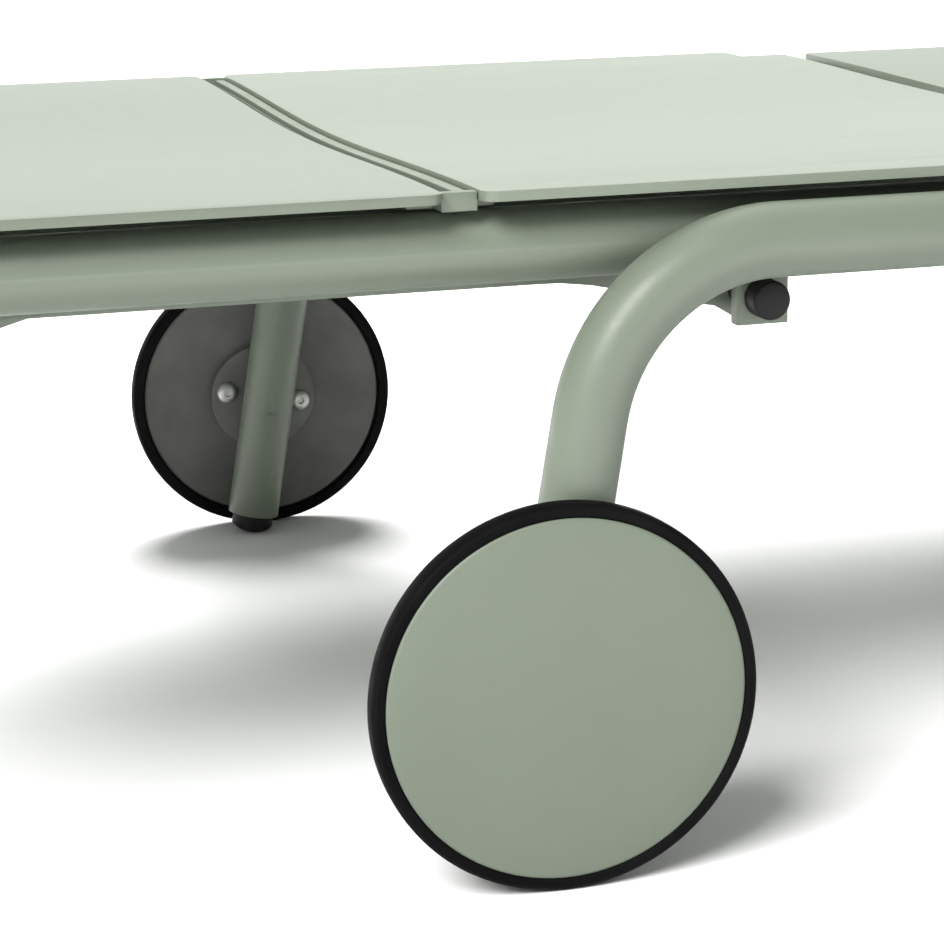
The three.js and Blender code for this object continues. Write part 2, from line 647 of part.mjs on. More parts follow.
function wheels() {
  const tyre = turned(
    [[TYRE_INNER_RADIUS, tyreInner + 2], [TYRE_INNER_RADIUS + 1.5, tyreInner], [WHEEL_RADIUS - 1, tyreInner],
      [WHEEL_RADIUS, tyreInner + 1], [WHEEL_RADIUS, tyreOuter - 1.2], [WHEEL_RADIUS - 1.2, tyreOuter],
      [COVER_RADIUS + 0.4, tyreOuter], [COVER_RADIUS + 0.4, coreOuter], [TYRE_INNER_RADIUS, coreOuter],
      [TYRE_INNER_RADIUS, tyreInner + 2]],
    WHEEL_SEGMENTS,
  );
  const bore = AXLE_RADIUS + GAP;
  const coreRadius = TYRE_INNER_RADIUS - GAP;
  const core = turned(
    [[bore, flangeOuter + 0.6], [14, flangeOuter + 0.6], [14, flangeOuter + 3], [38, flangeOuter + 3],
      [coreRadius, tyreInner + 2.3], [coreRadius, coreOuter], [bore, coreOuter], [bore, flangeOuter + 0.6]],
    WHEEL_SEGMENTS,
  );
  const cover = turned(
    [[0, coverInner], [COVER_RADIUS - 0.8, coverInner], [COVER_RADIUS, coverInner + 0.8],
      [COVER_RADIUS, WHEEL_FACE_Y - 0.8], [COVER_RADIUS - 0.8, WHEEL_FACE_Y], [0, WHEEL_FACE_Y]],
    WHEEL_SEGMENTS,
  );
  for (const [sideName, side] of Object.entries(SIDES)) {
    const centre = [AXLE_X, 0, WHEEL_RADIUS];
    addOnSide(`wheel_tyre_${sideName}`, side, tyre, tyreRubber(), centre);
    addOnSide(`wheel_core_${sideName}`, side, core, darkPlastic(), centre);
    addOnSide(`wheel_cover_${sideName}`, side, cover, framePaint(), centre);
  }
}

sideRails();
railPlugs();
endTubes();
legHoops();
footCaps();
panels();
bearers();
backrestSideBars();
hingeBrackets();
hingePins();
stayArms();
stayRods();
stayLugs();
stayPins();
backrestRacks();
wheelFlanges();
wheels();

export default lounger;
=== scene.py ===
# Reclining sun lounger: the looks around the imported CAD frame. Sizes below are in millimetres,
# Blender objects in metres; +X points to the foot end, +Y to the user's left, +Z up.
import math

import bmesh
import bpy
from mathutils import Matrix, Vector


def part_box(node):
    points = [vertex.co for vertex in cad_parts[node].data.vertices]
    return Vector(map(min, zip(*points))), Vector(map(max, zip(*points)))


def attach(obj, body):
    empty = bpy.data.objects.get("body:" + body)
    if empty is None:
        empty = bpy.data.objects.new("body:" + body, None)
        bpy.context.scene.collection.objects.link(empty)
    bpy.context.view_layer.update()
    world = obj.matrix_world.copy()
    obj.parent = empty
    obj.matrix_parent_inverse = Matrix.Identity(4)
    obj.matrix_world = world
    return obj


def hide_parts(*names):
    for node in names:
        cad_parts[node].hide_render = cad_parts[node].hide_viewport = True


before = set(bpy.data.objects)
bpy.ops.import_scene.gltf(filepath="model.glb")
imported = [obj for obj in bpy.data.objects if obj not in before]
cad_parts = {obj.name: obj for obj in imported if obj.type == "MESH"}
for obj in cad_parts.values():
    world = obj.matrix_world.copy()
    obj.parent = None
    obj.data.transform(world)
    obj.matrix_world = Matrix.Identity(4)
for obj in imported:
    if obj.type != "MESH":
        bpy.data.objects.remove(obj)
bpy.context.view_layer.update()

MM = 0.001
SIDES = {"left": 1, "right": -1}
ENDS = {"head": -1, "foot": 1}

# ---------------------------------------------------------------- sizes read from the frame


def low(node):
    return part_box(node)[0] / MM


def high(node):
    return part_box(node)[1] / MM


def middle(node):
    return (low(node) + high(node)) / 2


TUBE_RADIUS = (high("side_rail_left").z - low("side_rail_left").z) / 2
TUBE_WALL = 2.0
RAIL_Y = middle("side_rail_left").y
RAIL_Z = middle("side_rail_left").z
RAIL_HALF_LENGTH = high("side_rail_left").x
HOOP_Y = middle("leg_hoop_left").y
AXLE_X = middle("wheel_cover_left").x
WHEEL_RADIUS = middle("wheel_cover_left").z
WHEEL_FACE_Y = high("wheel_cover_left").y
COVER_RADIUS = high("wheel_cover_left").x - AXLE_X
PANEL_HALF_WIDTH = high("backrest_panel_head").y
BACKREST_TOP = high("backrest_panel_head").z
SEAT_TOP = high("seat_panel_foot").z
STAY_X = middle("stay_lug_left").x
STAY_Z = middle("stay_pin_left").z
HINGE_X = middle("hinge_pin_left").x
HINGE_Z = middle("hinge_pin_left").z

LEG_LEAN = math.radians(10)
BEND_RADIUS = 88.0
PANEL_THICKNESS = 4.5
DISH_DEPTH = 5.5
PANEL_CORNER = 8.0

# how finely round shapes are divided
TUBE_SEGMENTS = 72
WHEEL_SEGMENTS = 192
SMALL_SEGMENTS = 48

# ---------------------------------------------------------------- materials


class Recipe:
    """A node material with one Principled shader, built up a node at a time."""

    def __init__(self, name):
        self.material = bpy.data.materials.new(name)
        self.material.use_nodes = True
        self.tree = self.material.node_tree
        self.shader = self.tree.nodes["Principled BSDF"]
        self.coordinates = self.tree.nodes.new("ShaderNodeTexCoord").outputs["Object"]

    def link(self, source, target):
        self.tree.links.new(source, target)

    def node(self, kind, **settings):
        made = self.tree.nodes.new(kind)
        for key, value in settings.items():
            setattr(made, key, value)
        return made

    def noise(self, scale, detail=2.0, stretch=None):
        """Noise with about `scale` features to the metre, stretched along each axis if asked."""
        made = self.node("ShaderNodeTexNoise")
        made.inputs["Scale"].default_value = scale
        made.inputs["Detail"].default_value = detail
        source = self.coordinates
        if stretch:
            mapping = self.node("ShaderNodeMapping")
            mapping.inputs["Scale"].default_value = stretch
            self.link(source, mapping.inputs["Vector"])
            source = mapping.outputs["Vector"]
        self.link(source, made.inputs["Vector"])
        return made.outputs["Fac"]

    def ramp(self, factor, stops):
        made = self.node("ShaderNodeValToRGB")
        elements = made.color_ramp.elements
        while len(elements) < len(stops):
            elements.new(0.5)
        for element, (position, colour) in zip(elements, stops):
            element.position = position
            element.color = (*colour, 1.0)
        self.link(factor, made.inputs["Fac"])
        return made.outputs["Color"]

    def spread(self, factor, lowest, highest):
        made = self.node("ShaderNodeMapRange")
        made.inputs["From Min"].default_value = 0.3
        made.inputs["From Max"].default_value = 0.7
        made.inputs["To Min"].default_value = lowest
        made.inputs["To Max"].default_value = highest
        self.link(factor, made.inputs["Value"])
        return made.outputs["Result"]

    def bump(self, height, depth, strength=1.0, after=None):
        made = self.node("ShaderNodeBump")
        made.inputs["Strength"].default_value = strength
        made.inputs["Distance"].default_value = depth
        self.link(height, made.inputs["Height"])
        if after:
            self.link(after, made.inputs["Normal"])
        return made.outputs["Normal"]

    def painted_edge_highlight(self, colour, highlight_colour, amount):
        """Lightens the convex edges with a painted highlight along them."""
        pointiness = self.node("ShaderNodeNewGeometry").outputs["Pointiness"]
        edge = self.node("ShaderNodeMapRange")
        edge.inputs["From Min"].default_value = 0.54
        edge.inputs["From Max"].default_value = 0.64
        edge.inputs["To Max"].default_value = amount
        self.link(pointiness, edge.inputs["Value"])
        mix = self.node("ShaderNodeMix", data_type="RGBA")
        self.link(edge.outputs["Result"], mix.inputs["Factor"])
        self.link(colour, mix.inputs[6])
        mix.inputs[7].default_value = (*highlight_colour, 1.0)
        return mix.outputs[2]


def shade(colour, amount):
    return tuple(channel * amount for channel in colour)


def powder_coat(name, colour, roughness, peel, clouding=0.035, unevenness=0.045):
    """Satin powder coat on aluminium: faint clouding, fine orange peel and a soft sheen."""
    recipe = Recipe(name)
    clouds = recipe.noise(7, 3)
    tone = recipe.ramp(clouds, [(0.3, shade(colour, 1 - clouding)), (0.7, shade(colour, 1 + clouding))])
    speckle = recipe.noise(1500, 1)
    tint = recipe.node("ShaderNodeMix", data_type="RGBA", blend_type="MULTIPLY")
    recipe.link(tone, tint.inputs[6])
    recipe.link(recipe.ramp(speckle, [(0.35, (0.965, 0.965, 0.965)), (0.65, (1, 1, 1))]), tint.inputs[7])
    tint.inputs["Factor"].default_value = 1.0
    # Convex edges lightened: a painted highlight on panels, tubes and covers.
    edge_lit = recipe.painted_edge_highlight(tint.outputs[2], shade(colour, 1.35), 0.35)
    recipe.link(edge_lit, recipe.shader.inputs["Base Color"])
    recipe.link(recipe.spread(recipe.noise(60, 3), roughness - unevenness, roughness + unevenness),
                recipe.shader.inputs["Roughness"])
    coarse = recipe.bump(recipe.noise(420, 2), peel * MM, 0.5)
    recipe.link(recipe.bump(speckle, peel * 0.4 * MM, 0.5, coarse), recipe.shader.inputs["Normal"])
    recipe.shader.inputs["Specular IOR Level"].default_value = 0.5
    return recipe.material


def rubber(name):
    """Moulded tyre rubber: nearly black, with a dusty bloom and a fine grain."""
    recipe = Recipe(name)
    darkest, palest = (0.0035, 0.0035, 0.0035), (0.006, 0.006, 0.0065)
    bloom = recipe.ramp(recipe.noise(30, 4), [(0.35, darkest), (0.7, palest)])
    # Convex edges of the tyre lightened: a painted highlight.
    edge_lit = recipe.painted_edge_highlight(bloom, (0.02, 0.02, 0.021), 0.6)
    recipe.link(edge_lit, recipe.shader.inputs["Base Color"])
    recipe.link(recipe.spread(recipe.noise(90, 3), 0.48, 0.66), recipe.shader.inputs["Roughness"])
    recipe.shader.inputs["Specular IOR Level"].default_value = 0.03
    waves = recipe.bump(recipe.noise(110, 2), 0.25 * MM, 0.6)
    recipe.link(recipe.bump(recipe.noise(1600, 2), 0.08 * MM, 0.6, waves), recipe.shader.inputs["Normal"])
    return recipe.material


def moulded_plastic(name, colour, roughness):
    """Injection-moulded plastic with a spark-eroded grain."""
    recipe = Recipe(name)
    tone = recipe.ramp(recipe.noise(40, 3), [(0.3, shade(colour, 0.88)), (0.7, shade(colour, 1.12))])
    # Convex edges lightened: a painted highlight.
    edge_lit = recipe.painted_edge_highlight(tone, shade(colour, 2.2), 0.4)
    recipe.link(edge_lit, recipe.shader.inputs["Base Color"])
    recipe.link(recipe.spread(recipe.noise(150, 2), roughness - 0.06, roughness + 0.06),
                recipe.shader.inputs["Roughness"])
    grain = recipe.node("ShaderNodeTexVoronoi", feature="SMOOTH_F1")
    grain.inputs["Scale"].default_value = 1400
    recipe.link(recipe.coordinates, grain.inputs["Vector"])
    recipe.link(recipe.bump(grain.outputs["Distance"], 0.06 * MM, 0.5), recipe.shader.inputs["Normal"])
    recipe.shader.inputs["Specular IOR Level"].default_value = 0.25
    return recipe.material


def brushed_steel(name):
    """Stainless steel with turning marks and slightly clouded reflections."""
    recipe = Recipe(name)
    tone = recipe.ramp(recipe.noise(120, 3), [(0.3, (0.50, 0.50, 0.48)), (0.7, (0.62, 0.62, 0.60))])
    recipe.link(tone, recipe.shader.inputs["Base Color"])
    recipe.shader.inputs["Metallic"].default_value = 1.0
    marks = recipe.noise(900, 2, stretch=(1, 0.05, 1))
    recipe.link(recipe.spread(marks, 0.42, 0.58), recipe.shader.inputs["Roughness"])
    recipe.link(recipe.bump(marks, 0.03 * MM, 0.5), recipe.shader.inputs["Normal"])
    return recipe.material


SAGE = (0.132, 0.156, 0.118)
FRAME_PAINT = powder_coat("frame_powder_coat", SAGE, 0.42, 0.14)
PANEL_PAINT = powder_coat("panel_powder_coat", SAGE, 0.36, 0.006, clouding=0.02, unevenness=0.006)
COVER_PAINT = powder_coat("wheel_cover_powder_coat", SAGE, 0.5, 0.05)
TYRE_RUBBER = rubber("tyre_rubber")
BLACK_PLASTIC = moulded_plastic("black_plastic", (0.007, 0.007, 0.0072), 0.5)
WHEEL_PLASTIC = moulded_plastic("wheel_plastic", (0.132, 0.133, 0.124), 0.6)
STEEL = brushed_steel("brushed_stainless")

# ---------------------------------------------------------------- mesh helpers


def circle(centre, u, v, radius, count):
    """Points of a circle about `centre` in the plane of the unit vectors u and v."""
    angles = [2 * math.pi * i / count for i in range(count)]
    return [centre + radius * (math.cos(a) * u + math.sin(a) * v) for a in angles]


def loft(rings, loop=False):
    """A closed skin through rings of points. A ring of one point is a pole; open ends are capped."""
    bm = bmesh.new()
    made = [[bm.verts.new(point * MM) for point in ring] for ring in rings]
    pairs = list(zip(made, made[1:]))
    if loop:
        pairs.append((made[-1], made[0]))
    for first, second in pairs:
        count = max(len(first), len(second))
        for i in range(count):
            j = (i + 1) % count
            corners = [first[i % len(first)], first[j % len(first)],
                       second[j % len(second)], second[i % len(second)]]
            corners = list(dict.fromkeys(corners))
            if len(corners) > 2:
                bm.faces.new(corners)
    if not loop:
        for end in (made[0], made[-1]):
            if len(end) > 2:
                bm.faces.new(end)
    bmesh.ops.remove_doubles(bm, verts=bm.verts, dist=1e-7)
    bmesh.ops.recalc_face_normals(bm, faces=bm.faces)
    return bm


def turned(profile, segments=SMALL_SEGMENTS):
    """A solid of revolution about the Y axis; each profile point is (radius, y)."""
    x_axis, z_axis = Vector((1, 0, 0)), Vector((0, 0, 1))
    closed = profile[0] == profile[-1]
    rings = []
    for radius, y in profile[:-1] if closed else profile:
        centre = Vector((0, y, 0))
        rings.append([centre] if radius == 0 else circle(centre, x_axis, z_axis, radius, segments))
    return loft(rings, loop=closed)


def round_edges(bm, width, sharper_than=32, segments=3):
    """Rounds the edges that are sharper than that many degrees."""
    limit = math.radians(sharper_than)
    edges = [e for e in bm.edges if len(e.link_faces) == 2 and e.calc_face_angle(0) > limit]
    bmesh.ops.bevel(bm, geom=edges, offset=width * MM, offset_type="OFFSET", segments=segments,
                    profile=0.5, affect="EDGES", clamp_overlap=True)
    return bm


def place(bm, x=0.0, y=0.0, z=0.0, turn=0.0, tilt=0.0, scale=None):
    """Scales, tilts about Y, turns about Z and moves the mesh, in that order."""
    matrix = Matrix.Translation(Vector((x, y, z)) * MM) @ Matrix.Rotation(turn, 4, "Z")
    matrix = matrix @ Matrix.Rotation(tilt, 4, "Y")
    if scale:
        matrix = matrix @ Matrix.Diagonal((*scale, 1))
    bmesh.ops.transform(bm, matrix=matrix, verts=bm.verts)
    return bm


def merged(meshes):
    """One mesh that holds all of these."""
    whole = bmesh.new()
    for bm in meshes:
        part = bpy.data.meshes.new("part")
        bm.to_mesh(part)
        bm.free()
        whole.from_mesh(part)
        bpy.data.meshes.remove(part)
    return whole


def piece(name, bm, material, body, *nodes, sharp=40):
    """Makes the mesh an object that rides on its body and stands for those CAD nodes."""
    mesh = bpy.data.meshes.new(name)
    bmesh.ops.recalc_face_normals(bm, faces=bm.faces)
    bm.to_mesh(mesh)
    bm.free()
    mesh.shade_smooth()
    mesh.set_sharp_from_angle(angle=math.radians(sharp))
    mesh.materials.append(material)
    made = bpy.data.objects.new(name, mesh)
    bpy.context.scene.collection.objects.link(made)
    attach(made, body)
    if nodes:
        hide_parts(*nodes)
    return made


def refined(node, name, material, body, width, sharper_than=32):
    """The CAD node's own shape with merged flat faces and rounded edges."""
    bm = bmesh.new()
    bm.from_mesh(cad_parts[node].data)
    bmesh.ops.remove_doubles(bm, verts=bm.verts, dist=0.002 * MM)
    bmesh.ops.dissolve_limit(bm, angle_limit=math.radians(0.5), verts=bm.verts, edges=bm.edges)
    round_edges(bm, width, sharper_than)
    return piece(name, bm, material, body, node)


# ---------------------------------------------------------------- tubular frame


def round_tube(path, u_of, radius, wall):
    """A hollow tube through path points; u_of gives each point's in-plane normal, Y is the other."""
    y_axis = Vector((0, 1, 0))
    outer = [circle(p, u, y_axis, radius, TUBE_SEGMENTS) for p, u in zip(path, u_of)]
    inner = [circle(p, u, y_axis, radius - wall, TUBE_SEGMENTS) for p, u in zip(path, u_of)]
    return loft(outer + inner[::-1], loop=True)


def side_rails():
    up = Vector((0, 0, 1))
    for side_name, side in SIDES.items():
        ends = [Vector((x, side * RAIL_Y, RAIL_Z)) for x in (-RAIL_HALF_LENGTH, RAIL_HALF_LENGTH)]
        tube = round_edges(round_tube(ends, [up, up], TUBE_RADIUS, TUBE_WALL), 0.5)
        piece(f"rail_tube_{side_name}", tube, FRAME_PAINT, "frame", f"side_rail_{side_name}")


def rail_plugs():
    """Ribbed plugs with a domed head that covers the tube's end."""
    head_radius = TUBE_RADIUS - 0.4
    bore = TUBE_RADIUS - TUBE_WALL
    profile = [(0, -18), (bore - 2.2, -18)]
    for rib in range(4):
        start = -16.5 + 4 * rib
        profile += [(bore - 2.2, start), (bore - 0.6, start + 0.6), (bore - 0.6, start + 1.4),
                    (bore - 2.2, start + 2)]
    profile += [(bore - 2.2, 0.3), (head_radius, 0.3), (head_radius, 2.2)]
    dome_steps = 8
    for i in range(1, dome_steps + 1):
        angle = math.pi / 2 * i / dome_steps
        profile.append((head_radius * math.cos(angle) if i < dome_steps else 0, 2.2 + 2.8 * math.sin(angle)))
    for end_name, end in ENDS.items():
        for side_name, side in SIDES.items():
            plug = round_edges(turned(profile), 0.25)
            place(plug, end * RAIL_HALF_LENGTH, side * RAIL_Y, RAIL_Z, turn=-end * math.pi / 2)
            node = f"rail_plug_{end_name}_{side_name}"
            piece(f"ribbed_{node}", plug, BLACK_PLASTIC, "frame", node)


def rail_surface_y(z):
    """|y| of the inner side of a rail at height z."""
    return RAIL_Y - math.sqrt(max(0.0, TUBE_RADIUS ** 2 - (z - RAIL_Z) ** 2))


def weld_bead(path, radius, ripple=0.14, pitch=2.2):
    """A welded seam along a path: overlapping round puddles, thinner where one ends."""
    rings = []
    travelled = 0.0
    for i, point in enumerate(path):
        before, after = path[max(i - 1, 0)], path[min(i + 1, len(path) - 1)]
        along = (after - before).normalized()
        side = along.cross(Vector((0.13, 0.29, 0.95))).normalized()
        other = along.cross(side)
        if i:
            travelled += (point - path[i - 1]).length
        puddle = 1 - ripple * (1 - abs(math.sin(math.pi * travelled / pitch))) ** 2
        taper = min(1.0, 0.35 + 0.65 * min(i, len(path) - 1 - i) / 4)
        rings.append(circle(point, side, other, radius * puddle * taper, 12))
    return loft([[path[0]], *rings, [path[-1]]])


def end_tubes():
    """Cross tubes with fish-mouthed ends against the rails, and the weld round each end."""
    radius = (high("end_tube_foot").z - low("end_tube_foot").z) / 2
    z_axis, x_axis = Vector((0, 0, 1)), Vector((1, 0, 0))
    for end_name, end in ENDS.items():
        node = f"end_tube_{end_name}"
        centre = middle(node)
        rim = circle(centre, x_axis, z_axis, radius, TUBE_SEGMENTS)
        bore = circle(centre, x_axis, z_axis, radius - TUBE_WALL, TUBE_SEGMENTS)
        rings = []
        for points, order in ((rim, (-1, 1)), (bore, (1, -1))):
            for side in order:
                reach = [side * min(rail_surface_y(p.z), RAIL_Y - 4) for p in points]
                rings.append([Vector((p.x, y, p.z)) for p, y in zip(points, reach)])
        piece(f"cross_tube_{end_name}", loft(rings, loop=True), FRAME_PAINT, "frame", node)
        beads = []
        for side in SIDES.values():
            ring = circle(centre, x_axis, z_axis, radius + 0.9, 160)
            path = [Vector((p.x, side * (min(rail_surface_y(p.z), RAIL_Y - 6) - 0.8), p.z)) for p in ring]
            beads.append(weld_bead(path + path[:3], 2.1))
        piece(f"cross_tube_welds_{end_name}", merged(beads), FRAME_PAINT, "frame")


def leg_x(z):
    """x of the head leg's axis at height z; it crosses the wheel's axle."""
    return AXLE_X - (WHEEL_RADIUS - z) * math.tan(LEG_LEAN)


LEG_DOWN = Vector((-math.sin(LEG_LEAN), 0, -math.cos(LEG_LEAN)))
FOOT_DOME_RADIUS = 20.0
FOOT_LENGTH = 13.0
FOOT_FLAT = 1.0
LEG_END = Vector((leg_x(FOOT_DOME_RADIUS - FOOT_FLAT), 0, FOOT_DOME_RADIUS - FOOT_FLAT))
LEG_END = LEG_END + LEG_DOWN * (FOOT_DOME_RADIUS - FOOT_LENGTH)


def hoop_path():
    """Centreline points and in-plane normals: up the head leg, along the top, down the foot leg."""
    turn = math.pi / 2 - LEG_LEAN
    centre = Vector((leg_x(RAIL_Z) + BEND_RADIUS * math.tan(turn / 2), 0, RAIL_Z - BEND_RADIUS))
    outward = Vector((-math.cos(LEG_LEAN), 0, math.sin(LEG_LEAN)))
    half = [(LEG_END, outward)]
    bend_steps = 28
    for i in range(bend_steps + 1):
        angle = math.pi - LEG_LEAN - turn * i / bend_steps
        normal = Vector((math.cos(angle), 0, math.sin(angle)))
        half.append((centre + BEND_RADIUS * normal, normal))
    mirror = [(Vector((-p.x, 0, p.z)), Vector((-n.x, 0, n.z))) for p, n in reversed(half)]
    return half + mirror


def leg_hoops():
    nodes = hoop_path()
    for side_name, side in SIDES.items():
        path = [p + Vector((0, side * HOOP_Y, 0)) for p, _ in nodes]
        tube = round_edges(round_tube(path, [n for _, n in nodes], TUBE_RADIUS, TUBE_WALL), 0.5, 50)
        piece(f"bent_leg_tube_{side_name}", tube, FRAME_PAINT, "frame", f"leg_hoop_{side_name}")


def hoop_welds():
    """Stitch welds in the groove under each rail, where the hoop runs beside it."""
    stitch_half = 22
    stitch_pitch = 190
    off_middle = 3.6
    bead_radius = 2.6
    steps = 60
    for side_name, side in SIDES.items():
        y = side * (RAIL_Y + HOOP_Y) / 2
        beads = []
        for stitch in (-2, -1, 0, 1, 2):
            start = stitch * stitch_pitch - stitch_half
            for z in (RAIL_Z - off_middle, RAIL_Z + off_middle):
                path = [Vector((start + 2 * stitch_half * i / steps, y, z)) for i in range(steps + 1)]
                beads.append(weld_bead(path, bead_radius))
        piece(f"hoop_welds_{side_name}", merged(beads), FRAME_PAINT, "frame")


def foot_caps():
    """Pushed-in caps: a collar against the tube's end, a domed underside and a small flat."""
    rim_radius = TUBE_RADIUS - TUBE_WALL - 1.25
    rim_angle = math.asin(rim_radius / FOOT_DOME_RADIUS)
    profile = [(0, 16), (rim_radius, 16), (rim_radius, 0)]
    dome_steps = 14
    for i in range(dome_steps, -1, -1):
        angle = rim_angle * i / dome_steps
        depth = FOOT_LENGTH - FOOT_DOME_RADIUS * (1 - math.cos(angle))
        profile.append((FOOT_DOME_RADIUS * math.sin(angle), -depth))
    for end_name, end in ENDS.items():
        for side_name, side in SIDES.items():
            cap = round_edges(turned(profile), 0.8)
            tilt = Matrix.Rotation(-end * LEG_LEAN, 4, "Y") @ Matrix.Rotation(math.pi / 2, 4, "X")
            bmesh.ops.transform(cap, matrix=tilt, verts=cap.verts)
            place(cap, -end * LEG_END.x, side * HOOP_Y, LEG_END.z)
            cut = bmesh.ops.bisect_plane(cap, geom=cap.verts[:] + cap.edges[:] + cap.faces[:],
                                         plane_co=(0, 0, 0), plane_no=(0, 0, -1), clear_outer=True)
            rim = [e for e in cut["geom_cut"] if isinstance(e, bmesh.types.BMEdge)]
            bmesh.ops.edgeloop_fill(cap, edges=rim)
            node = f"foot_cap_{end_name}_{side_name}"
            piece(f"domed_{node}", cap, BLACK_PLASTIC, "frame", node)


def leg_plugs():
    """Small plug on the inner side of each head leg, below the axle."""
    height = 79
    for side_name, side in SIDES.items():
        plug = round_edges(turned([(0, -0.4), (4.2, -0.4), (4.2, 0.9), (0, 1.3)]), 0.4)
        place(plug, leg_x(height), side * (HOOP_Y - TUBE_RADIUS), height, turn=0 if side < 0 else math.pi)
        piece(f"leg_plug_{side_name}", plug, FRAME_PAINT, "frame")


# ---------------------------------------------------------------- panels and their bearers


def dish(y):
    return -DISH_DEPTH * math.cos(math.pi * y / (2 * PANEL_HALF_WIDTH)) ** 2


HEM = 14.0  # width of the folded edge underneath
SKIN = 1.6  # sheet thickness
NOTCH_LENGTH = 30.0
NOTCH_DEPTH = 34.0


def corner_inset(y, half_width):
    """How far a rounded corner pulls the outline in at |y|."""
    into = abs(y) - (half_width - PANEL_CORNER)
    if into <= 0:
        return 0.0
    return PANEL_CORNER - math.sqrt(max(0.0, PANEL_CORNER ** 2 - into ** 2))


def panel_stations(notched):
    """y of each section, negative to positive; a doubled value is a step in the section."""
    arc_steps = 8
    arc = [PANEL_HALF_WIDTH - PANEL_CORNER * (1 - math.sin(math.pi / 2 * i / arc_steps))
           for i in range(arc_steps + 1)]
    hem_start = PANEL_HALF_WIDTH - HEM
    inner_steps = 44
    ys = [hem_start * (2 * i / inner_steps - 1) for i in range(inner_steps + 1)]
    half = [(y, True) for y in ys] + [(hem_start, False)] + [(y, False) for y in arc]
    if notched:
        step = PANEL_HALF_WIDTH - NOTCH_DEPTH
        half += [(step, True), (step + 0.001, True)]
    full = {(round(y, 4), inside) for y, inside in half} | {(round(-y, 4), inside) for y, inside in half}
    return sorted(full, key=lambda s: (s[0], s[1] if s[0] < 0 else not s[1]))


def panel_section(y, inside, from_x, to_x, top, notched):
    """Section across a panel at y: the skin with its edges folded down and hemmed underneath."""
    left = from_x + corner_inset(y, PANEL_HALF_WIDTH)
    right = to_x - corner_inset(y, PANEL_HALF_WIDTH)
    if notched and abs(y) > PANEL_HALF_WIDTH - NOTCH_DEPTH:
        right = to_x - NOTCH_LENGTH - corner_inset(y, PANEL_HALF_WIDTH)
    height = top + dish(y)
    under = height - PANEL_THICKNESS
    ceiling = height - SKIN if inside else under
    hem = min(HEM, (right - left) / 3)
    points = [(left, height), (right, height), (right, under), (right - hem, under), (right - hem, ceiling),
              (left + hem, ceiling), (left + hem, under), (left, under)]
    return [Vector((x, y, z)) for x, z in points]


def panels():
    tops = {"backrest": BACKREST_TOP, "seat": SEAT_TOP}
    names = ["backrest_panel_head", "backrest_panel_hinge", "seat_panel_hinge", "seat_panel_middle",
             "seat_panel_foot"]
    for name in names:
        group = name.split("_")[0]
        notched = name == "backrest_panel_hinge"
        from_x, to_x = low(name).x, high(name).x
        sections = [panel_section(y, inside, from_x, to_x, tops[group], notched)
                    for y, inside in panel_stations(notched)]
        sheet = round_edges(loft(sections), 1.3, 32, 4)
        body = "backrest" if group == "backrest" else "frame"
        piece(f"folded_{name}", sheet, PANEL_PAINT, body, name)


def dished_strip(half, from_x, to_x, top, thickness, steps=40):
    """A flat bar across the lounger that follows the panels' dish."""
    rings = []
    for i in range(steps + 1):
        y = half * (2 * i / steps - 1)
        z = top + dish(y)
        rings.append([Vector((from_x, y, z)), Vector((to_x, y, z)), Vector((to_x, y, z - thickness)),
                      Vector((from_x, y, z - thickness))])
    return loft(rings)


SEAMS = {
    "backrest_bearer_middle": ("backrest_panel_head", "backrest_panel_hinge"),
    "seat_bearer_thigh": ("seat_panel_hinge", "seat_panel_middle"),
    "seat_bearer_calf": ("seat_panel_middle", "seat_panel_foot"),
}
BEARER_THICKNESS = 4.3
GROOVE_DEPTH = 3.4
GROOVE_TO_PANEL = 8.0
EAR_WIDTH = 6.0
EAR_BELOW_PANEL_TOP = 0.7
NECK_LENGTH = 16.0
RIB_BELOW_PANEL_TOP = 1.8


def seam_bearer(name):
    """A bearer under a seam: grooved along the seam, with narrow ends that turn up between the panels."""
    before, after = SEAMS[name]
    lowest, highest = low(name), high(name)
    gap_from, gap_to, panel_top = high(before).x, low(after).x, high(before).z
    top = highest.z - dish(highest.y)
    groove_from, groove_to = gap_from - 1, gap_to - GROOVE_TO_PANEL

    def section(y, region):
        from_x, to_x, rise, depth = lowest.x, highest.x, 0.0, GROOVE_DEPTH
        if region != "bar":
            from_x, to_x = gap_from + 0.5, gap_to - 0.5
        if region == "ear":
            rise, depth = panel_top - EAR_BELOW_PANEL_TOP - top, 0.0
        first, last = max(groove_from, from_x + 0.8), groove_to
        z = top + dish(y) + rise
        points = [(from_x, z), (first, z), (first, z - depth), (last, z - depth), (last, z), (to_x, z),
                  (to_x, z - rise - BEARER_THICKNESS), (from_x, z - rise - BEARER_THICKNESS)]
        return [Vector((x, y, height)) for x, height in points]

    bar_half, neck_half = highest.y - NECK_LENGTH, highest.y - EAR_WIDTH
    bar_steps = 36
    stations = [(bar_half * (2 * i / bar_steps - 1), "bar") for i in range(bar_steps + 1)]
    ends = [(bar_half, "neck"), (neck_half, "neck"), (neck_half, "ear"), (highest.y, "ear")]
    stations = [(-y, region) for y, region in reversed(ends)] + stations + ends
    rib_top = panel_top - RIB_BELOW_PANEL_TOP
    rib = dished_strip(neck_half, groove_to + 0.4, gap_to - 2, rib_top, rib_top - top)
    return merged([round_edges(loft([section(y, region) for y, region in stations]), 0.5),
                   round_edges(rib, 0.5)])


RIVET_PROFILE = [(0, -1.6), (1.1, -1.5), (1.3, -1.3), (2.6, -0.9), (3.2, 0), (3.2, 0.4), (0, 0.4)]
RIVET_SEGMENTS = 24
RIVET_INSET = 7
RIVET_SHARES = (-0.72, -0.26, 0.26, 0.72)  # of the bearer's half length


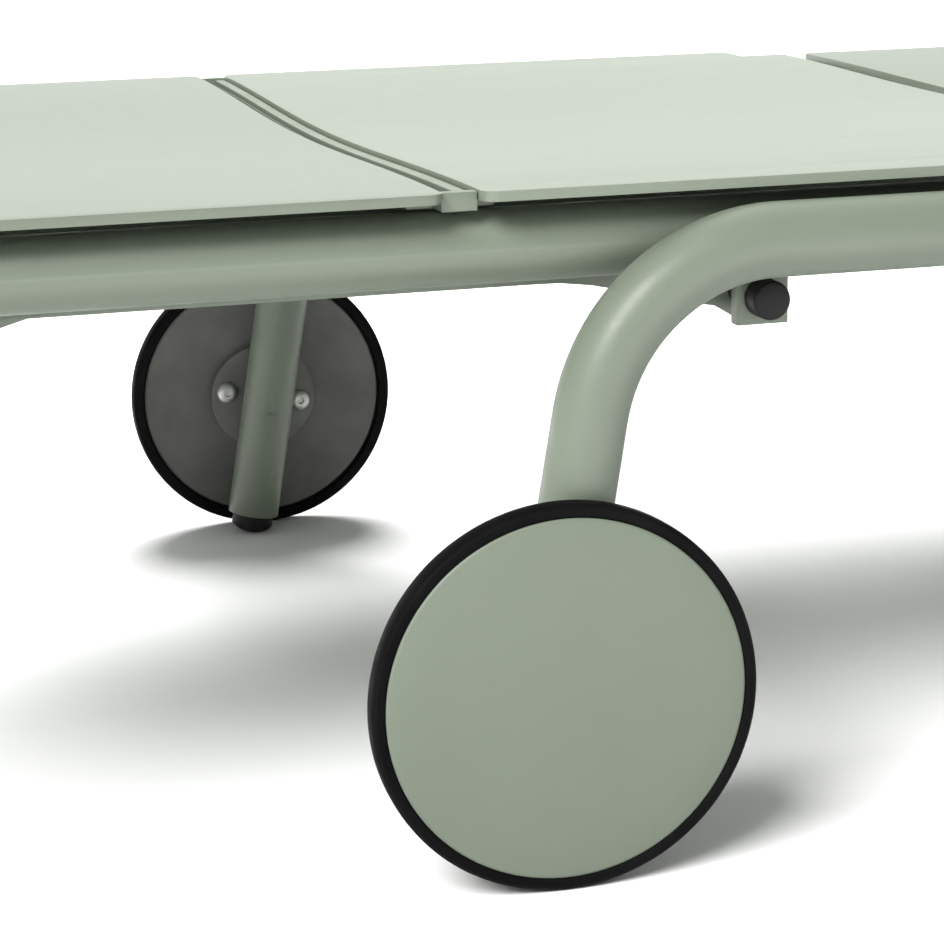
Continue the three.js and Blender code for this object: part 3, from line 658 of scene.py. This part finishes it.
def bearers():
    """Flat bars under the panels, with the rivets that hold the panels' hems."""
    names = ["backrest_bearer_head", "backrest_bearer_middle", "backrest_bearer_hinge", "seat_bearer_hinge",
             "seat_bearer_thigh", "seat_bearer_calf", "seat_bearer_foot"]
    for name in names:
        body = "backrest" if name.startswith("backrest") else "frame"
        lowest, highest = low(name), high(name)
        top = highest.z - dish(highest.y)
        if name in SEAMS:
            bar = seam_bearer(name)
        else:
            bar = round_edges(dished_strip(highest.y, lowest.x, highest.x, top, BEARER_THICKNESS), 0.7)
        piece(f"dished_{name}", bar, FRAME_PAINT, body, name)
        rivets = []
        for share in RIVET_SHARES:
            for x in (lowest.x + RIVET_INSET, highest.x - RIVET_INSET):
                y = share * highest.y
                rivet = turned(RIVET_PROFILE, RIVET_SEGMENTS)
                tip = Matrix.Rotation(math.pi / 2, 4, "X")
                bmesh.ops.transform(rivet, matrix=tip, verts=rivet.verts)
                rivets.append(place(rivet, x, y, top + dish(y) - BEARER_THICKNESS))
        piece(f"rivets_{name}", merged(rivets), STEEL, body)


BEARER_WELD_Z = 292.9  # on the rail's shoulder, beside the bearers' ends


def bearer_welds():
    """Beads that join each end of a seat bearer to the rail's shoulder."""
    for name in ("seat_bearer_hinge", "seat_bearer_thigh", "seat_bearer_calf", "seat_bearer_foot"):
        lowest, highest = low(name), high(name)
        beads = []
        for side in SIDES.values():
            y = side * (highest.y - 1.5)
            steps = 50
            path = [Vector((lowest.x + 2 + (highest.x - lowest.x - 4) * i / steps, y, BEARER_WELD_Z))
                    for i in range(steps + 1)]
            beads.append(weld_bead(path, 2.3))
        piece(f"welds_{name}", merged(beads), FRAME_PAINT, "frame")


# ---------------------------------------------------------------- backrest, hinge and stay


def backrest_frame():
    for side_name in SIDES:
        for part, width in (("backrest_side_bar", 0.35), ("backrest_rack", 0.5)):
            node = f"{part}_{side_name}"
            refined(node, f"finished_{node}", FRAME_PAINT, "backrest", width)
        node = f"hinge_bracket_{side_name}"
        refined(node, f"finished_{node}", FRAME_PAINT, "frame", 0.7)
        for part, body in (("stay_arm", "stay"), ("stay_lug", "frame")):
            node = f"{part}_{side_name}"
            refined(node, f"finished_{node}", FRAME_PAINT, body, 0.9)
    refined("stay_cross_bar", "finished_stay_cross_bar", FRAME_PAINT, "stay", 0.8)


PIN_RADIUS = 5.0
PIN_BORE = PIN_RADIUS + 0.3
PIN_HEAD_THICKNESS = 3.0
CAP_SEGMENTS = 64


def pins_and_caps():
    for side_name, side in SIDES.items():
        turn = 0 if side > 0 else math.pi

        node = f"hinge_pin_{side_name}"
        inner, outer = sorted((abs(low(node).y), abs(high(node).y)))
        head = inner + PIN_HEAD_THICKNESS
        pin = round_edges(turned([(0, inner), (7, inner), (8, inner + 1), (8, head), (PIN_RADIUS, head),
                                  (PIN_RADIUS, outer), (0, outer)]), 0.4)
        place(pin, HINGE_X, 0, HINGE_Z, turn=turn)
        piece(f"turned_{node}", pin, STEEL, "frame", node)

        node = f"stay_pin_{side_name}"
        inner, outer = sorted((abs(low(node).y), abs(high(node).y)))
        pin_profile = [(0, inner), (PIN_RADIUS, inner), (PIN_RADIUS, outer), (0, outer)]
        pin = round_edges(turned(pin_profile), 0.5)
        piece(f"turned_{node}", place(pin, STAY_X, 0, STAY_Z, turn=turn), STEEL, "frame", node)

        node = f"stay_spacer_{side_name}"
        inner, outer = sorted((abs(low(node).y), abs(high(node).y)))
        spacer = round_edges(turned([(PIN_BORE, inner), (8, inner), (8, outer), (PIN_BORE, outer),
                                     (PIN_BORE, inner)]), 0.4)
        piece(f"turned_{node}", place(spacer, STAY_X, 0, STAY_Z, turn=turn), BLACK_PLASTIC, "frame", node)

        node = f"stay_pin_cap_{side_name}"
        inner, face = sorted((abs(low(node).y), abs(high(node).y)))
        cap = turned([(PIN_BORE, inner), (9, inner), (9, face - 1.6), (8.6, face - 0.6), (7.6, face - 0.15),
                      (0, face), (0, face - 8), (PIN_BORE, face - 8), (PIN_BORE, inner)], CAP_SEGMENTS)
        piece(f"turned_{node}", place(cap, STAY_X, 0, STAY_Z, turn=turn), BLACK_PLASTIC, "frame", node,
              sharp=60)

    rod_low, rod_high = low("stay_tip_rod"), high("stay_tip_rod")
    radius = (rod_high.z - rod_low.z) / 2
    rod_profile = [(0, rod_low.y), (radius, rod_low.y), (radius, rod_high.y), (0, rod_high.y)]
    rod = round_edges(turned(rod_profile), 0.6)
    centre = middle("stay_tip_rod")
    piece("turned_stay_tip_rod", place(rod, centre.x, 0, centre.z), FRAME_PAINT, "stay", "stay_tip_rod")


# ---------------------------------------------------------------- wheels


def hexagon_ring(radius, y, count):
    """A hexagon drawn with `count` points, so that it lofts to circles."""
    points = []
    for i in range(count):
        angle = 2 * math.pi * i / count
        within = (angle % (math.pi / 3)) - math.pi / 6
        r = radius * math.cos(math.pi / 6) / math.cos(within)
        points.append(Vector((r * math.cos(angle), y, r * math.sin(angle))))
    return points


def wheel_bolts():
    """Button heads with a hexagon socket, on the inner side of each flange."""
    x_axis, z_axis = Vector((1, 0, 0)), Vector((0, 0, 1))
    for side_name, side in SIDES.items():
        for end_name in ENDS:
            node = f"wheel_bolt_{end_name}_{side_name}"
            face = abs(low(node).y if side > 0 else high(node).y)
            rings = [[Vector((0, face + 3.5, 0))]]
            for radius, height in ((7, 3.5), (6.9, 2.9), (6.2, 1.5), (4.8, 0.5), (3.2, 0.05)):
                rings.append(circle(Vector((0, face + height, 0)), x_axis, z_axis, radius, SMALL_SEGMENTS))
            rings.append(hexagon_ring(2.5, face + 0.15, SMALL_SEGMENTS))
            rings.append(hexagon_ring(2.3, face + 2, SMALL_SEGMENTS))
            rings.append([Vector((0, face + 2.3, 0))])
            centre = middle(node)
            bolt = place(loft(rings), centre.x, 0, centre.z, turn=0 if side > 0 else math.pi)
            piece(f"socket_{node}", bolt, STEEL, "frame", node, sharp=32)


FLANGE_THICKNESS = 4.0
HUB_CLEARANCE = 0.6  # between a fixed flange and the wheel that turns beside it


def wheel_flanges():
    for side_name, side in SIDES.items():
        node = f"wheel_flange_{side_name}"
        inner = abs(low(node).y if side > 0 else high(node).y)
        outer = abs(high(node).y if side > 0 else low(node).y)
        face = inner + FLANGE_THICKNESS
        profile = [(0, inner), (35, inner), (35, face), (7.8, face), (7.8, outer), (0, outer)]
        flange = place(round_edges(turned(profile, 96), 0.8), AXLE_X, 0, WHEEL_RADIUS,
                       turn=0 if side > 0 else math.pi)
        piece(f"turned_{node}", flange, WHEEL_PLASTIC, "frame", node)


def wheels():
    tyre_inner = WHEEL_FACE_Y - 12.8
    core_outer = WHEEL_FACE_Y - 2.8
    seat = COVER_RADIUS + 0.4
    r = WHEEL_RADIUS
    tyre = [(80, tyre_inner + 2), (81.5, tyre_inner), (r - 2.2, tyre_inner), (r - 0.7, tyre_inner + 0.8),
            (r - 0.15, tyre_inner + 2.6), (r, WHEEL_FACE_Y - 6.4), (r - 0.15, WHEEL_FACE_Y - 3.2),
            (r - 0.7, WHEEL_FACE_Y - 1.5), (r - 1.9, WHEEL_FACE_Y - 0.45), (r - 3.6, WHEEL_FACE_Y - 0.4),
            (seat + 0.5, WHEEL_FACE_Y - 0.9), (seat, WHEEL_FACE_Y - 1.3), (seat, core_outer),
            (80, core_outer), (80, tyre_inner + 2)]
    core_inner = low("wheel_flange_left").y + FLANGE_THICKNESS + HUB_CLEARANCE
    core = [(8.1, core_inner), (14, core_inner), (14, core_inner + 2.4), (38, core_inner + 2.4),
            (78.6, tyre_inner + 2.2), (79.7, tyre_inner + 3.0),
            (79.7, core_outer), (8.1, core_outer), (8.1, core_inner)]
    crown = 0.5
    cover = [(0, WHEEL_FACE_Y - 2.5), (COVER_RADIUS - 0.6, WHEEL_FACE_Y - 2.5),
             (COVER_RADIUS, WHEEL_FACE_Y - 2.1), (COVER_RADIUS, WHEEL_FACE_Y - 1.3),
             (COVER_RADIUS - 0.5, WHEEL_FACE_Y - 0.75)]
    cover_steps = 6
    for i in range(cover_steps, -1, -1):
        share = i / cover_steps
        cover.append(((COVER_RADIUS - 1.4) * share, WHEEL_FACE_Y - crown * share ** 2))
    for side_name, side in SIDES.items():
        body = f"wheel_{side_name}"
        turn = 0 if side > 0 else math.pi
        for part, profile, material in (("tyre", tyre, TYRE_RUBBER), ("core", core, WHEEL_PLASTIC),
                                        ("cover", cover, COVER_PAINT)):
            node = f"wheel_{part}_{side_name}"
            shape = place(turned(profile, WHEEL_SEGMENTS), AXLE_X, 0, WHEEL_RADIUS, turn=turn)
            piece(f"turned_{node}", shape, material, body, node, sharp=34)


# ---------------------------------------------------------------- stage, light and camera


def stage():
    """A plain pale floor, out past the camera's view."""
    half = 40
    mesh = bpy.data.meshes.new("floor")
    corners = [(-half, -half, 0), (half, -half, 0), (half, half, 0), (-half, half, 0)]
    mesh.from_pydata(corners, [], [(0, 1, 2, 3)])
    floor = bpy.data.objects.new("floor", mesh)
    bpy.context.scene.collection.objects.link(floor)
    recipe = Recipe("pale_floor")
    recipe.link(recipe.ramp(recipe.noise(3, 2), [(0.3, (0.86, 0.86, 0.86)), (0.7, (0.88, 0.88, 0.88))]),
                recipe.shader.inputs["Base Color"])
    recipe.shader.inputs["Roughness"].default_value = 0.9
    recipe.shader.inputs["Specular IOR Level"].default_value = 0.1
    mesh.materials.append(recipe.material)


def aimed(name, data, location, target):
    """Puts a light in the scene, pointing from one place to another."""
    light = bpy.data.objects.new(name, data)
    light.location = location
    light.rotation_euler = (Vector(target) - Vector(location)).to_track_quat("-Z", "Y").to_euler()
    light.visible_camera = False
    bpy.context.scene.collection.objects.link(light)
    return light


def reflected_panel(name, location, target, size, power):
    """A rectangular soft box that shows only in glossy surfaces."""
    data = bpy.data.lights.new(name, "AREA")
    data.shape = "RECTANGLE"
    data.size, data.size_y = size
    data.energy = power
    aimed(name, data, location, target).visible_diffuse = False


def broad_light(name, azimuth, elevation, strength, width):
    """A far, wide light that lights the whole floor evenly and leaves no glare. Angles are in degrees."""
    data = bpy.data.lights.new(name, "SUN")
    data.energy = strength
    data.angle = math.radians(width)
    a, e = math.radians(azimuth), math.radians(elevation)
    towards = Vector((math.cos(a) * math.cos(e), math.sin(a) * math.cos(e), math.sin(e)))
    aimed(name, data, towards * 6, (0, 0, 0)).visible_glossy = False


def lighting():
    world = bpy.data.worlds.new("studio")
    world.use_nodes = True
    background = world.node_tree.nodes["Background"]
    background.inputs["Color"].default_value = (1.0, 1.0, 1.0, 1.0)
    background.inputs["Strength"].default_value = 0.5
    bpy.context.scene.world = world
    broad_light("front", -138, 43, 5.1, 30)
    broad_light("back", 78, 51, 4.6, 28)
    reflected_panel("sheen", (0.6, 3.6, 1.2), (-0.3, 0, 0.3), (7.0, 2.2), 48)
    reflected_panel("highlight", (-2.6, -2.4, 2.4), (-0.4, -0.3, 0.2), (0.6, 1.2), 130)
    bpy.context.scene.view_settings.view_transform = "Standard"


def camera():
    """Stands at the near head corner, low, with a long lens towards the backrest and the wheel."""
    location = Vector((-0.89196, -1.40225, 0.45693))
    yaw, pitch, roll = math.radians(15.222), math.radians(13.546), math.radians(1.251)
    forward = Vector((math.sin(yaw) * math.cos(pitch), math.cos(yaw) * math.cos(pitch), -math.sin(pitch)))
    right = Vector((math.cos(yaw), -math.sin(yaw), 0))
    down = forward.cross(right)
    level_right = right * math.cos(roll) + down * math.sin(roll)
    level_down = down * math.cos(roll) - right * math.sin(roll)
    data = bpy.data.cameras.new("camera")
    data.lens = 101.59
    data.sensor_width = 36
    data.clip_start = 0.05
    made = bpy.data.objects.new("camera", data)
    rotation = Matrix((level_right, -level_down, -forward)).transposed().to_4x4()
    made.matrix_world = Matrix.Translation(location) @ rotation
    bpy.context.scene.collection.objects.link(made)
    bpy.context.scene.camera = made


camera()
lighting()
stage()
side_rails()
rail_plugs()
end_tubes()
leg_hoops()
hoop_welds()
foot_caps()
leg_plugs()
panels()
bearers()
bearer_welds()
backrest_frame()
pins_and_caps()
wheel_bolts()
wheel_flanges()
wheels()
